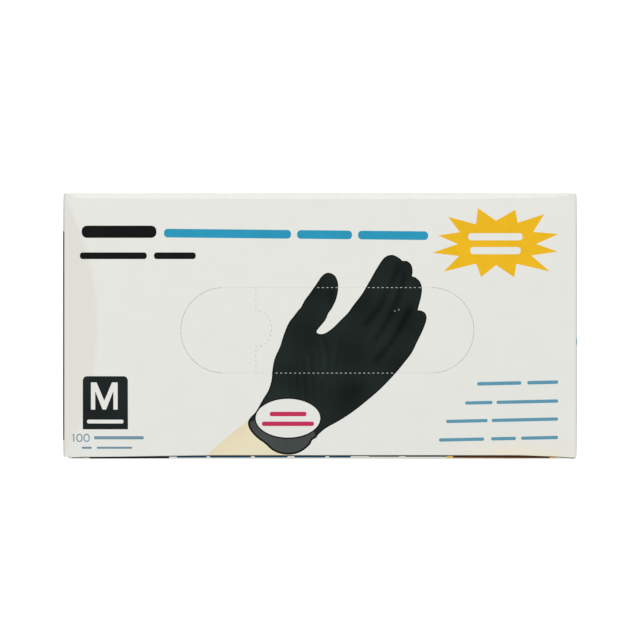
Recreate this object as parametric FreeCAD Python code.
import FreeCAD
import Part
import math
import os

# Dispenser carton for disposable gloves, closed and lying on its bottom panel.
# Frame: origin at the centre of the underside of the bottom panel, +Z up,
# +X along the long side to the right, +Y towards the back. Millimetres.

os.makedirs("parts", exist_ok=True)
Vector = FreeCAD.Vector

# ---- carton ----
LENGTH = 230.0        # outside length over the two outer end flaps
WIDTH = 118.0         # front crease to back crease
HEIGHT = 60.0         # bottom crease to top crease
BOARD = 0.5           # folding boxboard thickness
LAYER_GAP = 0.15      # air between the folded layers of an end

HALF_WIDTH = WIDTH / 2
X_TOP = LENGTH / 2 - BOARD               # end of the top panel
X_INNER = X_TOP - LAYER_GAP - BOARD      # end of the bottom panel
X_SIDE = X_INNER - LAYER_GAP - BOARD     # end of the front and back panels

TOP_BULGE = 1.8       # how far the packed gloves push the top panel up
TOP_EASE = 14.0       # length over which the top falls to the end creases
TOP_BLEND = 0.5       # largest blend between the crown and the end ramps
FRONT_BULGE = 1.6     # outward belly of the front panel
BACK_BULGE = 2.4      # outward belly of the back panel
MITRE_REACH = 8.0     # how far the mitre cutters extend past the creases

# Number of points interpolated along and across the curved sheets
TOP_COLUMNS, TOP_ROWS = 59, 25
SIDE_COLUMNS, SIDE_ROWS = 41, 15
GLUE_FLAP_ROWS = 9
SEAM_ROWS = 7

# ---- dispensing opening ----
SLOT_CX, SLOT_CY = 3.4, -1.6     # centre of the stadium
SLOT_L, SLOT_W = 131.8, 38.6     # its length and width
KERF = 0.2                       # width of the perforated cut
CUT_LEFT, CUT_RIGHT = -28.7, 35.5  # x of the perforations across the opening
THUMB_OUT = 7.0                  # how far a thumb tab reaches past its line
THUMB_Y0, THUMB_Y1 = -8.9, 7.3   # where a thumb tab starts and ends
THUMB_FLAT = 3.6                 # straight part at the tab's peak
# Middle point of a tab's curved sides: share of the reach, and y inset
THUMB_VIA_SHARE, THUMB_VIA_INSET = 0.62, 1.9
CUTTER_REACH = 5.0               # cutters extend this far above and below HEIGHT

# ---- ends ----
INNER_FLAP_H = 33.0   # height of the flap that folds up from the bottom
OUTER_FLAP_H = 58.0   # height of the flap that folds down from the top
FLAP_SIDE_GAP = 0.6   # outer flap to the side creases
INNER_FLAP_INSET = 0.4  # inner flap narrower than the outer, each side
INNER_FLAP_R, OUTER_FLAP_R = 9.0, 3.0  # free corner radii
DUST_REACH = 34.0     # how far a dust flap reaches across the end
DUST_TOP_SLOPE = 0.5
DUST_LOW_SLOPE = 0.68
DUST_CREASE_GAP = 1.0  # dust flap root to the top and bottom creases
DAB_RADIUS, DAB_T = 3.2, 0.11    # dabs of hot melt
DAB_YS = (-40.0, -14.0, 14.0, 40.0)
DAB_ZS = (9.0, 23.0)

# ---- back seam ----
GLUE_FLAP_H = 16.0
GLUE_FLAP_L = 216.0
GLUE_FLAP_TAPER = 9.0  # length lost at each end of the free edge
GLUE_FLAP_STRAIGHT = 1.5  # height at which the taper starts
SEAM_GAP = 0.12       # glue line between the glue flap and the back panel
SEAM_FILM = 0.08      # thickness of the glue film
SEAM_HALF_L = 98.0
SEAM_Z0, SEAM_Z1 = 5.0, 12.0

# ---- gloves ----
GLOVE_COUNT = 100
BUNDLE_COUNT = 25     # gloves in a bundle; the last gives up the top glove
GLOVE_T = 0.2         # two walls of thin film, pressed flat
GLOVE_FIRST_Z = 1.0
GLOVE_PITCH = 0.575
GLOVE_LENGTH = 222.0
FINGER_HALF_W = 9.5
FINGER_ROOT = 140.0   # distance from the cuff to the gaps between fingers
FIRST_FINGER_ROOT = 128.0  # the same, on the thumb side of the first finger
# (distance from cuff to fingertip, centre line across the hand)
FINGERS = [(211.0, -24.0), (222.0, -3.0), (214.0, 18.0), (196.0, 39.0)]
# Outline steps as read by outline_face: (distance from cuff, across the hand)
THUMB_SIDE = [
    (66.0, -43.0), (92.0, -52.0), (112.0, -56.0), (148.0, -56.0),
    (158.2, -45.8, 148.0, -35.6),    # round thumb tip
    (126.0, -35.2),
]
LITTLE_FINGER_SIDE = [(126.0, 49.5), (78.0, 44.0), (0.0, 42.0), (0.0, -42.0)]


# ---- helpers ----
def one_solid(shape):
    solids = shape.Solids
    if len(solids) != 1:
        raise RuntimeError("expected one solid, got %d" % len(solids))
    return solids[0]


def prism(points, run):
    """Polygon of vectors, extruded by the vector run."""
    return Part.Face(Part.makePolygon(points + [points[0]])).extrude(run)


def outline_face(steps, place):
    """Face inside a closed outline that starts where its last step ends.

    A step (a, b) is a line to that point; (via_a, via_b, a, b) is an arc.
    place(a, b) puts a point in space."""
    edges = []
    start = place(*steps[-1][-2:])
    for step in steps:
        end = place(*step[-2:])
        if len(step) == 4:
            curve = Part.Arc(start, place(*step[:2]), end)
        else:
            curve = Part.LineSegment(start, end)
        edges.append(curve.toShape())
        start = end
    return Part.Face(Part.Wire(edges))


def spaced(first, last, count):
    return [first + (last - first) * i / (count - 1) for i in range(count)]


def sheet(us, vs, place, thickness_vector):
    """A thin board whose outer face goes through place(u, v)."""
    surface = Part.BSplineSurface()
    surface.interpolate([[place(u, v) for v in vs] for u in us])
    return surface.toShape().extrude(thickness_vector)


def mitre(*corners):
    """Cutter along the carton from (y, z) corners.

    The long creases are mitred: each panel keeps its own side of the
    45 degree planes through the crease lines."""
    return prism([Vector(-LENGTH, y, z) for y, z in corners],
                 Vector(2 * LENGTH, 0, 0))


MITRE_Y = HALF_WIDTH + MITRE_REACH
MITRE_Z0, MITRE_Z1 = -MITRE_REACH, HEIGHT + MITRE_REACH


# ---- top panel and opening ----
def soft_min(a, b, blend):
    overlap = max(blend - abs(a - b), 0.0) / blend
    return min(a, b) - overlap * overlap * blend * 0.25


def top_rise(x, y):
    """Height of the top panel above the top creases."""
    crown = TOP_BULGE * (1.0 - (2.0 * y / WIDTH) ** 2)
    ramp = TOP_BULGE / TOP_EASE * (X_TOP - abs(x))
    if crown <= 0.0 or ramp <= 0.0:
        return 0.0
    return max(soft_min(crown, ramp, min(TOP_BLEND, crown, ramp)), 0.0)


def uncut_top():
    board = sheet(spaced(-X_TOP, X_TOP, TOP_COLUMNS),
                  spaced(-HALF_WIDTH, HALF_WIDTH, TOP_ROWS),
                  lambda x, y: Vector(x, y, HEIGHT + top_rise(x, y)),
                  Vector(0, 0, -BOARD))
    return one_solid(board.common(
        mitre((-MITRE_Y, MITRE_Z1), (MITRE_Y, MITRE_Z1), (0, HEIGHT - HALF_WIDTH))))


def opening_cutter(steps):
    """Upright cutter through the top panel from an (x, y) outline."""
    face = outline_face(steps, lambda x, y: Vector(x, y, HEIGHT - CUTTER_REACH))
    return face.extrude(Vector(0, 0, 2 * CUTTER_REACH))


def stadium(inset):
    """Cutter for the whole opening, drawn in by inset."""
    radius = SLOT_W / 2 - inset
    half = SLOT_L / 2 - SLOT_W / 2
    x0, x1 = SLOT_CX - half, SLOT_CX + half
    y0, y1 = SLOT_CY - radius, SLOT_CY + radius
    return opening_cutter([
        (x1, y0),
        (x1 + radius, SLOT_CY, x1, y1),
        (x0, y1),
        (x0 - radius, SLOT_CY, x0, y0),
    ])


def cross_cut(line_x, toward, shift):
    """Everything on the outer side of one cross perforation.

    The line runs straight across the opening but for a thumb tab that bulges
    towards the middle, in x direction toward (+1 or -1). shift moves the
    line that way, for the kerf."""
    x = line_x + toward * shift
    peak = x + toward * THUMB_OUT
    via_x = x + toward * THUMB_OUT * THUMB_VIA_SHARE
    far_x = SLOT_CX - toward * SLOT_L
    thumb_y = (THUMB_Y0 + THUMB_Y1) / 2
    y_low, y_high = SLOT_CY - SLOT_W, SLOT_CY + SLOT_W
    return opening_cutter([
        (x, THUMB_Y1),
        (via_x, THUMB_Y1 - THUMB_VIA_INSET, peak, thumb_y + THUMB_FLAT / 2),
        (peak, thumb_y - THUMB_FLAT / 2),
        (via_x, THUMB_Y0 + THUMB_VIA_INSET, x, THUMB_Y0),
        (x, y_low),
        (far_x, y_low),
        (far_x, y_high),
        (x, y_high),
    ])


def top_pieces():
    """The top panel and the three sections that fill its opening."""
    top = uncut_top()
    filling = top.common(stadium(KERF))
    half_kerf = KERF / 2
    return {
        "top_panel": one_solid(top.cut(stadium(0.0))),
        "opening_left_section": one_solid(
            filling.common(cross_cut(CUT_LEFT, 1, -half_kerf))),
        "opening_right_section": one_solid(
            filling.common(cross_cut(CUT_RIGHT, -1, -half_kerf))),
        "opening_center_section": one_solid(
            filling.cut(cross_cut(CUT_LEFT, 1, half_kerf))
                   .cut(cross_cut(CUT_RIGHT, -1, half_kerf))),
    }


# ---- bottom, front and back ----
def bottom_panel():
    board = Part.makeBox(2 * X_INNER, WIDTH, BOARD,
                         Vector(-X_INNER, -HALF_WIDTH, 0))
    return one_solid(board.common(
        mitre((-MITRE_Y, MITRE_Z0), (MITRE_Y, MITRE_Z0), (0, HALF_WIDTH))))


def bellied_sheet(facing, outer_y, bulge, half_length, z0, z1, rows, thickness=BOARD):
    """Upright sheet bulging outwards; facing is -1 at the front, +1 at the back."""
    def place(x, z):
        across = 1.0 - (2.0 * z / HEIGHT - 1.0) ** 2
        along = 1.0 - abs(x / X_SIDE) ** 4
        belly = max(bulge * across * along, 0.0)
        return Vector(x, facing * (outer_y + belly), z)

    return sheet(spaced(-half_length, half_length, SIDE_COLUMNS),
                 spaced(z0, z1, rows), place, Vector(0, -facing * thickness, 0))


def side_panel(facing, bulge):
    board = bellied_sheet(facing, HALF_WIDTH, bulge, X_SIDE, 0, HEIGHT, SIDE_ROWS)
    return one_solid(board.common(
        mitre((facing * MITRE_Y, MITRE_Z1), (facing * MITRE_Y, MITRE_Z0),
              (facing * (HALF_WIDTH - HEIGHT / 2), HEIGHT / 2))))


def glue_flap():
    """Flap up from the bottom panel, bonded inside the back panel, with its belly."""
    half = GLUE_FLAP_L / 2
    board = bellied_sheet(1, HALF_WIDTH - BOARD - SEAM_GAP, BACK_BULGE,
                          half, BOARD, GLUE_FLAP_H, GLUE_FLAP_ROWS)
    free_half = half - GLUE_FLAP_TAPER
    outline = [(-half, 0), (half, 0), (half, GLUE_FLAP_STRAIGHT),
               (free_half, GLUE_FLAP_H), (-free_half, GLUE_FLAP_H),
               (-half, GLUE_FLAP_STRAIGHT)]
    cutter_reach = 8.0
    return one_solid(board.common(
        prism([Vector(x, HALF_WIDTH - cutter_reach, z) for x, z in outline],
              Vector(0, 2 * cutter_reach, 0))))


def seam_glue():
    """Film of glue midway between the glue flap and the back panel."""
    outer_y = HALF_WIDTH - BOARD - (SEAM_GAP - SEAM_FILM) / 2
    return one_solid(bellied_sheet(1, outer_y, BACK_BULGE, SEAM_HALF_L,
                                   SEAM_Z0, SEAM_Z1, SEAM_ROWS, SEAM_FILM))


# ---- ends: side is -1 at the left, +1 at the right ----
def rounded_flap(side, x, half_width, z_root, z_free, radius):
    """A flat flap with its two free corners rounded; x is its inside face."""
    up = 1 if z_free > z_root else -1
    inset = radius * (1 - math.sqrt(0.5))
    z_arc = z_free - up * radius
    z_via = z_free - up * inset
    face = outline_face([
        (half_width, z_root),
        (half_width, z_arc),
        (half_width - inset, z_via, half_width - radius, z_free),
        (-half_width + radius, z_free),
        (-half_width + inset, z_via, -half_width, z_arc),
        (-half_width, z_root),
    ], lambda y, z: Vector(side * x, y, z))
    return face.extrude(Vector(side * BOARD, 0, 0))


def dust_flap(side, facing):
    """Tapered flap from the front (facing -1) or back (+1) panel."""
    root = facing * HALF_WIDTH
    tip = facing * (HALF_WIDTH - DUST_REACH)
    z_top, z_low = HEIGHT - DUST_CREASE_GAP, DUST_CREASE_GAP
    outline = [(root, z_low), (root, z_top),
               (tip, z_top - DUST_TOP_SLOPE * DUST_REACH),
               (tip, z_low + DUST_LOW_SLOPE * DUST_REACH)]
    return prism([Vector(side * X_SIDE, y, z) for y, z in outline],
                 Vector(side * BOARD, 0, 0))


def end_glue(side):
    """Dabs on the inside of the outer flap, where it meets the inner flap."""
    return Part.makeCompound([
        Part.makeCylinder(DAB_RADIUS, DAB_T, Vector(side * X_TOP, y, z),
                          Vector(-side, 0, 0))
        for y in DAB_YS for z in DAB_ZS])


def end_pieces(name, side):
    half_width = HALF_WIDTH - FLAP_SIDE_GAP
    return {
        name + "_outer_flap": rounded_flap(
            side, X_TOP, half_width, HEIGHT, HEIGHT - OUTER_FLAP_H, OUTER_FLAP_R),
        name + "_inner_flap": rounded_flap(
            side, X_INNER, half_width - INNER_FLAP_INSET, 0.0, INNER_FLAP_H,
            INNER_FLAP_R),
        name + "_front_dust_flap": dust_flap(side, -1),
        name + "_back_dust_flap": dust_flap(side, 1),
        name + "_end_glue": end_glue(side),
    }


# ---- gloves ----
def glove_outline():
    """Steps around one flat glove, from the thumb-side corner of the cuff."""
    steps = list(THUMB_SIDE)
    root = FIRST_FINGER_ROOT
    for tip, centre in FINGERS:
        low, high = centre - FINGER_HALF_W, centre + FINGER_HALF_W
        shoulder = tip - FINGER_HALF_W
        steps += [(root, low), (shoulder, low), (tip, centre, shoulder, high),
                  (FINGER_ROOT, high)]
        root = FINGER_ROOT
    # The last finger has no gap after it: it runs into the side of the hand.
    return steps[:-1] + LITTLE_FINGER_SIDE


GLOVE_OUTLINE = glove_outline()


def glove(index, along, flip):
    """Glove number index from the bottom of the stack.

    along = +1 has the cuff at the left end, -1 at the right end; flip = +1
    has the thumb towards the front, -1 towards the back."""
    level = GLOVE_FIRST_Z + index * GLOVE_PITCH
    face = outline_face(GLOVE_OUTLINE, lambda reach, across: Vector(
        along * (reach - GLOVE_LENGTH / 2), flip * across, level))
    return face.extrude(Vector(0, 0, GLOVE_T))


def glove_pieces():
    """Bundles turned end for end in turn, and the loose glove drawn out first."""
    top_index = GLOVE_COUNT - 1
    pieces = {}
    for k, first in enumerate(range(0, GLOVE_COUNT, BUNDLE_COUNT)):
        along = -1 if k % 2 else 1
        pieces["glove_bundle_%d" % (k + 1)] = Part.makeCompound([
            glove(i, along, 1 if i % 2 else -1)
            for i in range(first, min(first + BUNDLE_COUNT, top_index))])
    pieces["top_glove"] = glove(top_index, 1, 1)
    return pieces


# ---- build and export ----
nodes = {
    **top_pieces(),
    "bottom_panel": bottom_panel(),
    "front_panel": side_panel(-1, FRONT_BULGE),
    "back_panel": side_panel(1, BACK_BULGE),
    "glue_flap": glue_flap(),
    "seam_glue": seam_glue(),
    **end_pieces("left", -1),
    **end_pieces("right", 1),
    **glove_pieces(),
}
for name, shape in nodes.items():
    if not shape.isValid():
        raise RuntimeError(name + " is not a valid shape")
    shape.exportStep("parts/" + name + ".step")
